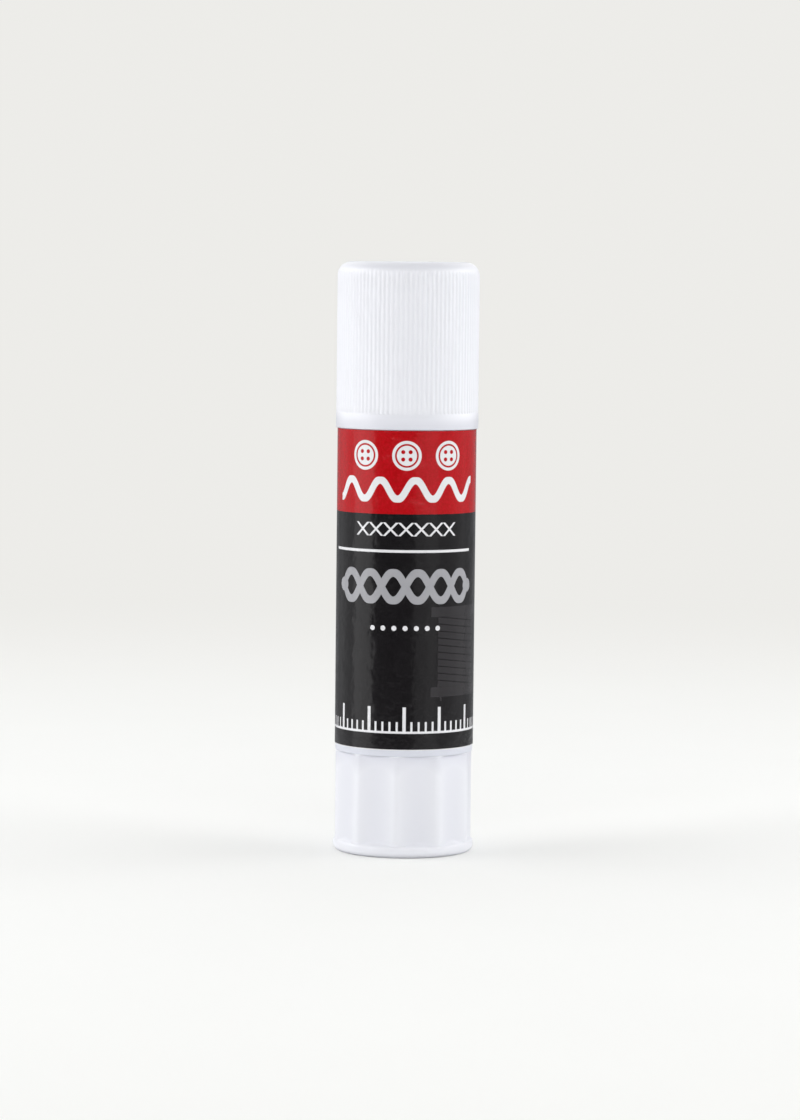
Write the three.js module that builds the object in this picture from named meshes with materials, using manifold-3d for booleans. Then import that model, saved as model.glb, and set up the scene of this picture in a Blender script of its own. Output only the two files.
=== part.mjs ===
// A twist-up glue stick: a ribbed cap on a keyed barrel, a fluted knob that turns a lead screw,
// and a threaded carrier that lifts the glue. Millimetres, +Z up, the foot of the knob on Z = 0,
// the front of the label towards -Y.

import * as THREE from "three";
import { mergeVertices, toCreasedNormals } from "three/addons/utils/BufferGeometryUtils.js";
import Module from "manifold-3d";

const wasm = await Module();
wasm.setup();

// Lengths along the axis
const knobHeight = 14.4;
const knobGap = 0.15; // running gap between the knob and the barrel
const bodyLength = 46.45; // barrel from its lower edge to the shoulder under the cap
const neckLength = 12.9;
const seamGap = 0.2; // dark line between the barrel's shoulder and the cap
const capLength = 23.3;

// Barrel
const barrelRadius = 9.85;
const barrelWall = 1.9;
const shoulderStep = 0.9; // from the barrel in to the neck
const neckLead = 0.5; // chamfer that guides the cap on
const neckLeadInset = 0.25;
const barrelFloor = 1.2;
const floorInset = 0.9; // floor's underside above the barrel's lower edge
const spigotLength = 6.2;
const spigotWall = 1.1;
const beadOffset = 2.4; // snap bead above the shoulder
const beadHeight = 0.12;
const beadWidth = 0.9;

// Keys that stop the carrier from turning
const keyCount = 4;
const keyWidth = 1.2;
const keyHeight = 0.5;
const keyTopDrop = 1.5; // keys end this far below the neck's rim
const keyClearance = 0.25;

// Label
const labelThickness = 0.08;
const labelBacking = 0.02; // film of adhesive between label and barrel
const labelLowMargin = 0.87;
const labelHighMargin = 0.22;

// Cap
const capStep = 0.35; // from the barrel out to the cap
const ribCount = 96;
const ribInset = 0.04; // rib crests under the cap's smooth rim
const ribDepth = 0.2;
const ribSink = 0.1; // how deep the ribs lie in the cap's wall
const ribCrestShare = 0.5; // share of the pitch that the crest takes, the rest is a V groove
const capRimHeight = 1.75;
const capTopBand = 0.1; // plain band between the ribs and the rounded edge
const capEdgeRadius = 2;
const capRimEdge = 0.25;
const capTopWall = 1.2;
const capFit = 0.15; // between cap and neck
const capSeatDepth = 0.5; // step that stands over the neck's rim
const capSeatGap = 0.4;
const capMouthLead = 0.3;
const capInnerCorner = 0.7;
const snapGroove = 0.1;

// Knob
const fluteCount = 10;
const flutePhase = -6; // degrees of one ridge from the front, towards +X
const ridgeStep = 0.12; // from the barrel out to the ridges
const fluteDepth = 0.65;
const ridgeWidth = 0.7;
const ridgeCrown = 0.12; // rise of a ridge over its edges
const knobWall = 0.95; // at the bottom of a flute
const knobFloor = 1.1;
const footStep = 0.1; // from the ridges out to the foot
const footHeight = 1.6;
const footEdge = 0.9;
const footShoulder = 0.25;
const footFillet = 0.8;
const footSweep = 60; // degrees, of the shoulder and of the fillet over it
const footRecess = 0.5;
const footRingWidth = 1.9;
const knobTopEdge = 0.25;
const webCount = 4;
const webThickness = 0.8;
const webClearance = 0.4; // under the spigot
const spigotClearance = 0.25;
const socketWall = 1;

// Lead screw
const lead = 4;
const threadHand = -1; // left hand, so that a positive turn of the knob lifts the carrier
const screwCoreRadius = 1.9;
const screwCrestRadius = 2.9;
const ridgeRootWidth = 1.6;
const ridgeCrestWidth = 0.8;
const ridgeSink = 0.3; // how deep the ridge's root lies in the core
const ridgeFadeTurns = 0.25;
const ridgeFadeShare = 0.1; // of the ridge's height, left at its two ends
const ridgeStart = 0.4; // above the collar
const shankSide = 3.6;
const shankClearance = 0.1;
const shankEndGap = 0.6;
const journalRadius = 2.9;
const journalClearance = 0.12;
const collarRadius = 4.4;
const collarThickness = 1.2;
const collarGap = 0.1;
const tipLength = 0.8;
const tipRadius = 1.1;

// Carrier
const carrierGap = 0.25; // above the collar when the carrier is down
const carrierClearance = 0.15;
const carrierFloor = 1.2;
const cupHeight = 5.2;
const cupWall = 0.9;
const nutHeight = 6;
const nutWall = 1.4;
const threadClearance = 0.3;

// Glue
const glueGap = 0.1;
const glueLength = 53.7; // from the cup's floor to the crown
const glueTipCover = 1.5; // glue over the end of the bore
const glueTipGap = 0.6;
const glueEdge = 0.6;
const glueEdgeSweep = 80; // degrees
const glueDome = 0.25;

// How finely round forms are cut
const roundFacets = 60;
const coreFacets = 16;
const threadSteps = 16;
const arcSteps = 3;
const fluteSteps = 6;
const overcut = 1; // how far cutting and joined forms run past a face
const weldDistance = 1e-4;
const creaseAngle = Math.PI / 6;

// Radii that follow from the sizes above
const boreRadius = barrelRadius - barrelWall;
const neckRadius = barrelRadius - shoulderStep;
const capRadius = barrelRadius + capStep;
const ribCrestRadius = capRadius - ribInset;
const ridgeRadius = barrelRadius + ridgeStep;
const footRadius = ridgeRadius + footStep;

// Places that follow from the sizes above
const barrelBottom = knobHeight + knobGap;
const shoulder = barrelBottom + bodyLength;
const neckTop = shoulder + neckLength;
const capBottom = shoulder + seamGap;
const capTop = capBottom + capLength;
const floorBottom = barrelBottom + floorInset;
const floorTop = floorBottom + barrelFloor;
const spigotBottom = barrelBottom - spigotLength;
const fluteRadius = ridgeRadius - fluteDepth;
const knobInnerRadius = fluteRadius - knobWall;
const spigotRadius = knobInnerRadius - spigotClearance;
const knobFloorTop = footRecess + knobFloor;
const knobRoot = footRecess + knobFloor / 2;
const socketTop = floorBottom - knobGap;
const socketSide = shankSide + 2 * shankClearance;
const socketRadius = (socketSide / 2) * Math.SQRT2 + socketWall;
const collarBottom = floorTop + collarGap;
const collarTop = collarBottom + collarThickness;
const carrierBottom = collarTop + carrierGap;
const carrierRadius = boreRadius - carrierClearance;
const cupFloorTop = carrierBottom + carrierFloor;
const cupTop = carrierBottom + cupHeight;
const nutTop = carrierBottom + nutHeight;
const nutBoreRadius = screwCoreRadius + threadClearance;
const nutRadius = screwCrestRadius + threadClearance + nutWall;
const glueBottom = cupFloorTop + glueGap;
const glueTop = glueBottom + glueLength - glueTipCover;
const glueCrown = glueBottom + glueLength;
const screwTop = glueTop - glueTipGap;
const threadStart = collarTop + ridgeStart;
const threadTurns = wholeSteps((screwTop - tipLength - threadStart) / lead);

// Turns of thread, rounded down to the steps that the thread is cut in
function wholeSteps(turns) {
  return Math.floor(turns * threadSteps) / threadSteps;
}

// Solids

const radians = THREE.MathUtils.degToRad;

function toSolid(geometry) {
  geometry.deleteAttribute("normal");
  geometry.deleteAttribute("uv");
  const welded = mergeVertices(geometry, weldDistance);
  const triVerts = new Uint32Array(welded.index.array);
  return new wasm.Manifold(
    new wasm.Mesh({ numProp: 3, vertProperties: welded.attributes.position.array, triVerts }),
  );
}

function toGeometry(solid) {
  const mesh = solid.getMesh();
  const geometry = new THREE.BufferGeometry();
  geometry.setAttribute("position", new THREE.BufferAttribute(mesh.vertProperties, 3));
  geometry.setIndex(new THREE.BufferAttribute(mesh.triVerts, 1));
  return toCreasedNormals(geometry, creaseAngle);
}

function join(solids) {
  return solids.reduce((whole, solid) => whole.add(solid));
}

// A profile of [radius, height] pairs, anticlockwise, turned about Z. It closes on itself or on the axis.
function revolve(profile, facets = roundFacets) {
  const points = profile.map(([radius, height]) => new THREE.Vector2(radius, height));
  const geometry = new THREE.LatheGeometry(points, facets);
  return toSolid(geometry.rotateX(Math.PI / 2));
}

function ringProfile(innerRadius, outerRadius, bottom, top) {
  return [
    [innerRadius, bottom],
    [outerRadius, bottom],
    [outerRadius, top],
    [innerRadius, top],
    [innerRadius, bottom],
  ];
}

function arc(radius, height, bend, fromDegrees, toDegrees, steps = arcSteps) {
  return Array.from({ length: steps + 1 }, (_, i) => {
    const angle = radians(fromDegrees + ((toDegrees - fromDegrees) * i) / steps);
    return [radius + bend * Math.cos(angle), height + bend * Math.sin(angle)];
  });
}

function extrude(outline, bottom, top) {
  const shape = new THREE.Shape(outline);
  const geometry = new THREE.ExtrudeGeometry(shape, { depth: top - bottom, bevelEnabled: false });
  return toSolid(geometry.translate(0, 0, bottom));
}

// Blocks that stand in a circle, each from one radius to another, across the direction of its angle.
function spokes(count, phase, innerRadius, outerRadius, width, bottom, top) {
  return Array.from({ length: count }, (_, i) => {
    const geometry = new THREE.BoxGeometry(outerRadius - innerRadius, width, top - bottom);
    geometry.translate((innerRadius + outerRadius) / 2, 0, (bottom + top) / 2);
    return toSolid(geometry.rotateZ(phase + (i * 2 * Math.PI) / count));
  });
}

// A ridge wound on the helix of the lead screw. Turn 0 lies at threadStart.
function helicalRidge({ crestRadius, rootWidth, crestWidth, firstTurn, lastTurn, fadeTurns }) {
  const rootRadius = screwCoreRadius - ridgeSink;
  const count = Math.round((lastTurn - firstTurn) * threadSteps);
  const positions = [];
  for (let i = 0; i <= count; i++) {
    const turn = firstTurn + i / threadSteps;
    const fromEnd = Math.min(turn - firstTurn, lastTurn - turn);
    const swell = fadeTurns ? THREE.MathUtils.clamp(fromEnd / fadeTurns, ridgeFadeShare, 1) : 1;
    const crest = rootRadius + (crestRadius - rootRadius) * swell;
    const angle = threadHand * turn * 2 * Math.PI;
    const height = threadStart + lead * turn;
    const section = [
      [rootRadius, -rootWidth / 2],
      [crest, -crestWidth / 2],
      [crest, crestWidth / 2],
      [rootRadius, rootWidth / 2],
    ];
    for (const [radius, rise] of section) {
      positions.push(radius * Math.cos(angle), radius * Math.sin(angle), height + rise);
    }
  }
  const faces = [];
  for (let i = 0; i < count; i++) {
    for (let j = 0; j < 4; j++) {
      const a = 4 * i + j;
      const b = 4 * i + ((j + 1) % 4);
      faces.push([a, b + 4, b], [a, a + 4, b + 4]);
    }
  }
  const last = 4 * count;
  faces.push([0, 1, 2], [0, 2, 3], [last, last + 2, last + 1], [last, last + 3, last + 2]);
  const outward = faces.map(([a, b, c]) => (threadHand > 0 ? [a, b, c] : [a, c, b]));
  const geometry = new THREE.BufferGeometry();
  geometry.setAttribute("position", new THREE.Float32BufferAttribute(positions, 3));
  geometry.setIndex(outward.flat());
  return toSolid(geometry);
}

// Notches that clear the barrel's keys
function keyways(bottom, top) {
  const inner = boreRadius - keyHeight - keyClearance;
  const width = keyWidth + 2 * keyClearance;
  return join(spokes(keyCount, 0, inner, boreRadius + keyHeight, width, bottom, top));
}

// Pieces

function makeBarrel() {
  const beadCentre = shoulder + beadOffset;
  const holeRadius = journalRadius + journalClearance;
  const shell = revolve([
    [holeRadius, floorBottom],
    [spigotRadius - spigotWall, floorBottom],
    [spigotRadius - spigotWall, spigotBottom],
    [spigotRadius, spigotBottom],
    [spigotRadius, barrelBottom],
    [barrelRadius, barrelBottom],
    [barrelRadius, shoulder],
    [neckRadius, shoulder],
    [neckRadius, beadCentre - beadWidth / 2],
    [neckRadius + beadHeight, beadCentre],
    [neckRadius, beadCentre + beadWidth / 2],
    [neckRadius, neckTop - neckLead],
    [neckRadius - neckLeadInset, neckTop],
    [boreRadius, neckTop],
    [boreRadius, floorTop],
    [holeRadius, floorTop],
    [holeRadius, floorBottom],
  ]);
  const rootRadius = (boreRadius + neckRadius) / 2;
  const keyBottom = (floorBottom + floorTop) / 2;
  const keyTop = neckTop - keyTopDrop;
  const keys = spokes(keyCount, 0, boreRadius - keyHeight, rootRadius, keyWidth, keyBottom, keyTop);
  return join([shell, ...keys]);
}

function makeLabel() {
  const innerRadius = barrelRadius + labelBacking;
  const bottom = barrelBottom + labelLowMargin;
  const top = shoulder - labelHighMargin;
  return revolve(ringProfile(innerRadius, innerRadius + labelThickness, bottom, top));
}

// Ribs round a circle, with V grooves between them
function ribOutline() {
  const pitch = (2 * Math.PI) / ribCount;
  const crest = (pitch * ribCrestShare) / 2;
  const corners = [
    [-pitch / 2, ribCrestRadius - ribDepth],
    [-crest, ribCrestRadius],
    [crest, ribCrestRadius],
  ];
  return Array.from({ length: ribCount }, (_, i) =>
    corners.map(([turn, radius]) => {
      const angle = turn + i * pitch;
      return new THREE.Vector2(radius * Math.cos(angle), radius * Math.sin(angle));
    }),
  ).flat();
}

function makeCap() {
  const ribBottom = capBottom + capRimHeight;
  const ribTop = capTop - capEdgeRadius - capTopBand;
  const baseRadius = ribCrestRadius - ribDepth - ribSink;
  const innerRadius = neckRadius + capFit;
  const seatRadius = innerRadius - capSeatDepth;
  const seat = neckTop + capSeatGap;
  const ceiling = capTop - capTopWall;
  const beadCentre = shoulder + beadOffset;
  const edge = arc(capRadius - capEdgeRadius, capTop - capEdgeRadius, capEdgeRadius, 0, 90, 2 * arcSteps);
  const body = revolve([
    [0, capBottom],
    [capRadius - capRimEdge, capBottom],
    [capRadius, capBottom + capRimEdge],
    [capRadius, ribBottom],
    [baseRadius, ribBottom],
    [baseRadius, ribTop],
    [capRadius, ribTop],
    ...edge,
    [0, capTop],
  ]);
  const ribs = extrude(ribOutline(), ribBottom - ribSink, ribTop + ribSink);
  const hollow = revolve([
    [0, capBottom - overcut],
    [innerRadius + capMouthLead, capBottom - overcut],
    [innerRadius + capMouthLead, capBottom],
    [innerRadius, capBottom + capMouthLead],
    [innerRadius, beadCentre - beadWidth / 2],
    [innerRadius + snapGroove, beadCentre],
    [innerRadius, beadCentre + beadWidth / 2],
    [innerRadius, seat],
    [seatRadius, seat],
    ...arc(seatRadius - capInnerCorner, ceiling - capInnerCorner, capInnerCorner, 0, 90),
    [0, ceiling],
  ]);
  return body.add(ribs).subtract(hollow);
}

// Ten concave flutes between narrow rounded ridges
function fluteOutline() {
  const pitch = (2 * Math.PI) / fluteCount;
  const ridgeHalf = ridgeWidth / 2;
  const ridgeEdge = Math.sqrt(ridgeRadius ** 2 - ridgeHalf ** 2) - ridgeCrown;
  const edgeAngle = pitch / 2 - Math.atan2(ridgeHalf, ridgeEdge);
  const edgeDistance = Math.hypot(ridgeHalf, ridgeEdge);
  const halfChord = edgeDistance * Math.sin(edgeAngle);
  const sink = edgeDistance * Math.cos(edgeAngle) - fluteRadius;
  const bend = (halfChord ** 2 + sink ** 2) / (2 * sink);
  const sweep = Math.asin(halfChord / bend);
  const phase = radians(flutePhase - 90);
  const points = [];
  for (let k = 0; k < fluteCount; k++) {
    const ridge = phase + k * pitch;
    const middle = ridge + pitch / 2;
    points.push(new THREE.Vector2(ridgeRadius * Math.cos(ridge), ridgeRadius * Math.sin(ridge)));
    for (let i = 0; i <= fluteSteps; i++) {
      const turn = sweep * ((2 * i) / fluteSteps - 1);
      const along = fluteRadius + bend * (1 - Math.cos(turn));
      const across = bend * Math.sin(turn);
      const point = new THREE.Vector2(along, across);
      points.push(point.rotateAround(new THREE.Vector2(), middle));
    }
  }
  return points;
}

function makeKnob() {
  const grip = extrude(fluteOutline(), knobRoot, knobHeight);
  const gripEnvelope = revolve([
    [0, 0],
    [footRadius, 0],
    [footRadius, knobHeight - knobTopEdge - (footRadius - ridgeRadius)],
    [ridgeRadius - knobTopEdge, knobHeight],
    [0, knobHeight],
  ]);
  const filletTop = footHeight + footFillet;
  const foot = revolve([
    [0, 0],
    ...arc(footRadius - footEdge, footEdge, footEdge, -90, 0),
    ...arc(footRadius - footShoulder, footHeight - footShoulder, footShoulder, 0, footSweep, 2),
    ...arc(fluteRadius + footFillet, filletTop, footFillet, 180 + footSweep, 180),
    [0, filletTop],
  ]);
  const socket = revolve(ringProfile(0, socketRadius, knobRoot, socketTop), coreFacets);
  const cup = revolve([
    [0, knobFloorTop],
    [knobInnerRadius, knobFloorTop],
    [knobInnerRadius, knobHeight + overcut],
    [0, knobHeight + overcut],
  ]);
  const recess = revolve([
    [0, -overcut],
    [footRadius - footEdge - footRingWidth, -overcut],
    [footRadius - footEdge - footRingWidth - footRecess, footRecess],
    [0, footRecess],
  ]);
  const webTop = spigotBottom - webClearance;
  const webOuter = knobInnerRadius + knobWall / 2;
  const webs = spokes(webCount, 0, 0, webOuter, webThickness, knobRoot, webTop);
  const bore = new THREE.BoxGeometry(socketSide, socketSide, socketTop);
  const squareBore = toSolid(bore.translate(0, 0, knobFloorTop + socketTop / 2));
  const shell = grip.intersect(gripEnvelope).add(foot).subtract(cup).subtract(recess);
  return join([shell, socket, ...webs]).subtract(squareBore);
}

function makeLeadScrew() {
  const shankBottom = knobFloorTop + shankEndGap;
  const shankTop = socketTop + overcut;
  const spindle = revolve(
    [
      [0, socketTop - overcut],
      [screwCoreRadius, socketTop - overcut],
      [screwCoreRadius, screwTop - tipLength],
      [tipRadius, screwTop],
      [0, screwTop],
    ],
    coreFacets,
  );
  const collar = revolve(
    [
      [0, socketTop],
      [journalRadius, socketTop],
      [journalRadius, collarBottom],
      [collarRadius, collarBottom],
      [collarRadius, collarTop],
      [0, collarTop],
    ],
    2 * coreFacets,
  );
  const shankBox = new THREE.BoxGeometry(shankSide, shankSide, shankTop - shankBottom);
  const shank = toSolid(shankBox.translate(0, 0, (shankBottom + shankTop) / 2));
  const ridge = helicalRidge({
    crestRadius: screwCrestRadius,
    rootWidth: ridgeRootWidth,
    crestWidth: ridgeCrestWidth,
    firstTurn: 0,
    lastTurn: threadTurns,
    fadeTurns: ridgeFadeTurns,
  });
  return join([spindle, collar, shank, ridge]);
}

function makeCarrier() {
  const cup = revolve([
    [0, carrierBottom],
    [carrierRadius, carrierBottom],
    [carrierRadius, cupTop],
    [carrierRadius - cupWall, cupTop],
    [carrierRadius - cupWall, cupFloorTop],
    [0, cupFloorTop],
  ]);
  const nut = revolve(
    [
      [0, carrierBottom],
      [nutRadius, carrierBottom],
      [nutRadius, nutTop],
      [0, nutTop],
    ],
    2 * coreFacets,
  );
  const bore = revolve(
    [
      [0, carrierBottom - overcut],
      [nutBoreRadius, carrierBottom - overcut],
      [nutBoreRadius, nutTop + overcut],
      [0, nutTop + overcut],
    ],
    coreFacets,
  );
  const groove = helicalRidge({
    crestRadius: screwCrestRadius + threadClearance,
    rootWidth: ridgeRootWidth + 2 * threadClearance,
    crestWidth: ridgeCrestWidth + 2 * threadClearance,
    firstTurn: (carrierBottom - threadStart) / lead - 1,
    lastTurn: (nutTop - threadStart) / lead + 1,
    fadeTurns: 0,
  });
  const keyed = cup.subtract(keyways(carrierBottom - overcut, cupTop + overcut));
  return keyed.add(nut).subtract(bore).subtract(groove);
}

function makeGlue() {
  const outerRadius = carrierRadius - glueGap;
  const plugRadius = carrierRadius - cupWall - glueGap;
  const aboveCup = cupTop + glueGap;
  const aboveNut = nutTop + glueGap;
  const nutSpace = nutRadius + glueGap;
  const boreSpace = screwCrestRadius + threadClearance;
  const edge = arc(outerRadius - glueEdge, glueCrown - glueDome - glueEdge, glueEdge, 0, glueEdgeSweep);
  const column = revolve([
    [nutSpace, glueBottom],
    [plugRadius, glueBottom],
    [plugRadius, aboveCup],
    [outerRadius, aboveCup],
    ...edge,
    [0, glueCrown],
    [0, glueTop],
    [boreSpace, glueTop],
    [boreSpace, aboveNut],
    [nutSpace, aboveNut],
    [nutSpace, glueBottom],
  ]);
  return column.subtract(keyways(glueBottom - overcut, glueCrown + overcut));
}

// Materials

function plastic(colour, roughness) {
  return new THREE.MeshStandardMaterial({ color: colour, roughness, metalness: 0 });
}

function piece(name, solid, material) {
  const mesh = new THREE.Mesh(toGeometry(solid), material);
  mesh.name = name;
  return mesh;
}

// Assembly

const glueStick = new THREE.Group();
glueStick.add(
  piece("barrel", makeBarrel(), plastic(0xeceef2, 0.32)),
  piece("label", makeLabel(), plastic(0x1c1a1c, 0.22)),
);

const turningBase = new THREE.Group();
turningBase.add(
  piece("base_knob", makeKnob(), plastic(0xedeff4, 0.3)),
  piece("lead_screw", makeLeadScrew(), plastic(0xe6e8ec, 0.4)),
);

const glueCarrier = new THREE.Group();
glueCarrier.add(
  piece("carrier", makeCarrier(), plastic(0xe9ebef, 0.4)),
  piece("glue", makeGlue(), plastic(0xf3f1e6, 0.55)),
);

const liftOffCap = new THREE.Group();
liftOffCap.add(piece("cap", makeCap(), plastic(0xf0f2f7, 0.28)));

glueStick.add(turningBase, glueCarrier, liftOffCap);

export default glueStick;
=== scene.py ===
from math import atan2, cos, degrees, hypot, pi, radians, sin, sqrt, tau

import bmesh
import bpy
from mathutils import Euler, Matrix, Vector


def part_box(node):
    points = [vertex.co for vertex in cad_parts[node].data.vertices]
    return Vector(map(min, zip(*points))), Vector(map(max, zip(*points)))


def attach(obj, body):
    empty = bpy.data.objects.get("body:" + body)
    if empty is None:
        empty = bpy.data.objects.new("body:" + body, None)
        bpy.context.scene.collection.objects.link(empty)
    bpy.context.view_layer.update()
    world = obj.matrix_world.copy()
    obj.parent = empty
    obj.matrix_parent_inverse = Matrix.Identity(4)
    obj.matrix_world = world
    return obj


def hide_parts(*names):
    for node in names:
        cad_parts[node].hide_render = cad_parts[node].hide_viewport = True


# A twist-up glue stick. Metres, +Z up, the front of the label towards -Y.
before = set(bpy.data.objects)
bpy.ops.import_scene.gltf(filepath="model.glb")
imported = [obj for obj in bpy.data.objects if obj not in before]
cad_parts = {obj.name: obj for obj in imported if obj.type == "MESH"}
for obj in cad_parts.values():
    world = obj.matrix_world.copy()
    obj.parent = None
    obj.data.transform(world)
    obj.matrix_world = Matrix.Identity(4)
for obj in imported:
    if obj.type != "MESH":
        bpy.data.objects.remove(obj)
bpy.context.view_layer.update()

MM = 0.001
WELD = 0.001 * MM


def turned_extent(node):
    """Lowest point, highest point and outer radius of a round node."""
    low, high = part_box(node)
    return low.z, high.z, high.x


cap_bottom, cap_top, cap_radius = turned_extent("cap")
barrel_bottom, neck_top, _ = turned_extent("barrel")
label_bottom, label_top, label_radius = turned_extent("label")
_, knob_top, foot_radius = turned_extent("base_knob")
glue_bottom, glue_top, _ = turned_extent("glue")
carrier_bottom, nut_top, _ = turned_extent("carrier")

# Sizes that several pieces share
FILM_TOP_DROP = 0.07 * MM
SHOULDER_RISE = 0.03 * MM
SEAM_GAP = 0.06 * MM
NECK_RADIUS = 8.95 * MM
BORE_RADIUS = 7.95 * MM
BEAD_OFFSET = 2.4 * MM
BEAD_WIDTH = 0.9 * MM
KEY_COUNT = 4
KEY_HEIGHT = 0.5 * MM
KNOB_GAP = 0.15 * MM
FLOOR_INSET = 0.9 * MM
GRIP_GAP = 0.01 * MM
CARRIER_GAP = 0.15 * MM
GLUE_SIDE_GAP = 0.25 * MM
floor_bottom = knob_top + KNOB_GAP
lower_edge = floor_bottom - FLOOR_INSET
grip_top = lower_edge - GRIP_GAP
film_top = label_top - FILM_TOP_DROP
shoulder = film_top + SHOULDER_RISE
rim_bottom = shoulder + SEAM_GAP
bead_middle = shoulder + BEAD_OFFSET
carrier_radius = BORE_RADIUS - CARRIER_GAP
glue_radius = BORE_RADIUS - GLUE_SIDE_GAP

# Roundings that recur: their size and their number of segments
CRISP_EDGE = (0.03 * MM, 2)
DIMPLE_EDGE = (0.06 * MM, 2)
SEAT_EDGE = (0.08 * MM, 2)
SMALL_EDGE = (0.1 * MM, 2)
SOFT_EDGE = (0.15 * MM, 2)
ROUND_EDGE = (0.2 * MM, 3)
WIDE_CORNER = (0.3 * MM, 3)
DEEP_CORNER = (0.4 * MM, 3)


# Modelling by hand: one vertex drawn round a profile, spun about the stick's axis,
# then worked by columns


def deselect():
    bpy.ops.object.select_all(action="DESELECT")


def start_drawing(name):
    """A new piece that holds one vertex, at the origin, in edit mode."""
    deselect()
    bpy.ops.mesh.primitive_plane_add(size=MM)
    piece = bpy.context.object
    piece.name = piece.data.name = name
    bpy.ops.object.mode_set(mode="EDIT")
    bpy.ops.mesh.select_mode(type="VERT")
    bpy.ops.mesh.select_all(action="SELECT")
    bpy.ops.mesh.merge(type="CENTER")
    return piece


def select(piece, test, kind="verts"):
    """Selects the vertices, edges or faces whose middle passes a test."""
    bpy.ops.mesh.select_all(action="DESELECT")
    mode = {"verts": "VERT", "edges": "EDGE", "faces": "FACE"}[kind]
    bpy.ops.mesh.select_mode(type=mode)
    mesh = bmesh.from_edit_mesh(piece.data)
    for element in getattr(mesh, kind):
        points = [element.co] if kind == "verts" else [v.co for v in element.verts]
        if test(sum(points, Vector()) / len(points)):
            element.select_set(True)
    bmesh.update_edit_mesh(piece.data)


def reach(point):
    """Distance of a point from the stick's axis."""
    return hypot(point.x, point.y)


def turn_of(point):
    """Angle of a point about the stick's axis, in degrees from +X."""
    return degrees(atan2(point.y, point.x))


def scale_radius(factor):
    bpy.ops.transform.resize(value=(factor, factor, 1), center_override=(0, 0, 0))


def at_corners(corners):
    """A test for the points of a drawn profile that lie on some of its corners."""
    places = [Vector((corner[0], 0, corner[1])) for corner in corners]
    return lambda point: min((point - place).length for place in places) < WELD


def turned(name, corners, columns, closed):
    """A round form: corners of (radius, height, rounding, segments) drawn in order and spun."""
    piece = start_drawing(name)
    radius, height = corners[0][:2]
    bpy.ops.transform.translate(value=(radius, 0, height))
    for corner in corners[1:]:
        step = (corner[0] - radius, 0, corner[1] - height)
        bpy.ops.mesh.extrude_vertices_move(TRANSFORM_OT_translate={"value": step})
        radius, height = corner[:2]
    if closed:
        select(piece, at_corners([corners[0], corners[-1]]))
        bpy.ops.mesh.edge_face_add()
    for rounding in sorted({corner[2:] for corner in corners if len(corner) > 2}):
        select(piece, at_corners([corner for corner in corners if corner[2:] == rounding]))
        size, segments = rounding
        bpy.ops.mesh.bevel(affect="VERTICES", offset=size, segments=segments, profile=0.5)
    bpy.ops.mesh.select_all(action="SELECT")
    bpy.ops.mesh.spin(steps=columns, angle=tau, center=(0, 0, 0), axis=(0, 0, 1))
    bpy.ops.mesh.select_all(action="SELECT")
    bpy.ops.mesh.remove_doubles(threshold=WELD)
    bpy.ops.mesh.normals_make_consistent(inside=False)
    return piece


def finish_piece(piece, body, node, material, smooth=40):
    """Leaves edit mode, shades the piece, gives it its body and its finish, and hides the CAD node
    it stands in for.
    """
    bpy.ops.object.mode_set(mode="OBJECT")
    deselect()
    piece.select_set(True)
    bpy.context.view_layer.objects.active = piece
    bpy.ops.object.shade_smooth_by_angle(angle=radians(smooth))
    piece.data.materials.clear()
    piece.data.materials.append(material)
    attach(piece, body)
    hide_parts(node)


# Cap


CAP_RIBS = 96
CAP_RIB_COLUMNS = 8
CAP_RIB_INSET = 0.04 * MM
CAP_RIB_DEPTH = 0.11 * MM
CAP_RIB_SHARPNESS = 1.2
CAP_RIM_HEIGHT = 1.75 * MM
CAP_RUN_OUT = 0.3 * MM
CAP_EDGE = 2.0 * MM
CAP_EDGE_STEPS = 12
CAP_INNER_RADIUS = NECK_RADIUS + 0.15 * MM
CAP_SEAT_RADIUS = CAP_INNER_RADIUS - 0.5 * MM
CAP_SEAT_RISE = 0.4 * MM
CAP_SNAP_DEPTH = 0.1 * MM
CAP_TOP_WALL = 1.2 * MM
CAP_MOUTH_LEAD = 0.3 * MM
CAP_MOUTH_EDGE = (0.1 * MM, 4)
CAP_CEILING_CORNER = (0.7 * MM, 4)
CAP_GATE_RADIUS = 1.1 * MM
CAP_GATE_DEPTH = 0.12 * MM

# A groove is cut in passes, so that its ends fade out: each starts at a share of the run-out,
# ends at a share of the rounded edge, and takes a share of the depth
CAP_GROOVE_PASSES = ((0.4, 0.4, 0.2), (0.4, 0.27, 0.3), (0.9, 0.14, 0.5))


def groove_offset(point):
    """Columns between a point of the cap and the middle of the nearest groove."""
    place = round(turn_of(point) * CAP_RIBS * CAP_RIB_COLUMNS / 360) % CAP_RIB_COLUMNS
    return min(place, CAP_RIB_COLUMNS - place)


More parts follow.
